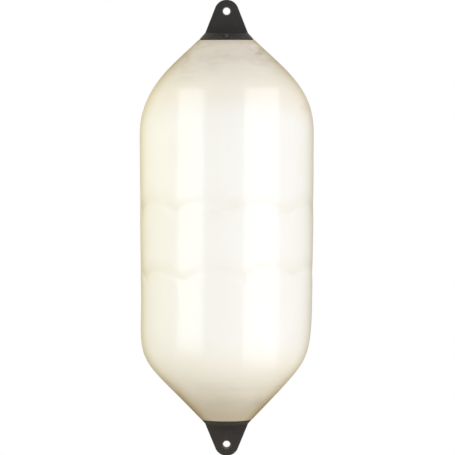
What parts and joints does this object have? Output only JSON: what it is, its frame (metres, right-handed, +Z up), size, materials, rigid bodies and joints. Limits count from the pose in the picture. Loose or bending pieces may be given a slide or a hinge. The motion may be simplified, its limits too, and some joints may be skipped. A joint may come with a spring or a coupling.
{
  "type": "inflatable boat fender",
  "caption": "Long inflatable boat fender, a barrel body with conical shoulders, with a moulded rope eye at each end and a screw air valve at the foot of the upper eye.",
  "frame": {"origin": "centre of the upper rope hole, in the middle of the lug's thickness", "axes": "+Z up along the fender, away from its body, as it hangs; +Y along the rope hole, from the side with the valve to the back; +X to the right seen from the valve's side"},
  "size_m": [0.3888, 0.3888, 1.0202],
  "materials": {
    "body_vinyl": "glossy ivory white vinyl, faintly mottled",
    "eye_vinyl": "satin black moulded vinyl",
    "valve_seat_nylon": "satin black nylon",
    "seal_rubber": "matt black rubber",
    "valve_plug_nylon": "satin dark grey nylon"
  },
  "bodies": {
    "root": {"inflated_body": "body_vinyl", "upper_rope_eye": "eye_vinyl", "lower_rope_eye": "eye_vinyl", "valve_seat": "valve_seat_nylon", "valve_seal": "seal_rubber", "valve_plug": "valve_plug_nylon"}
  },
  "joints": []
}
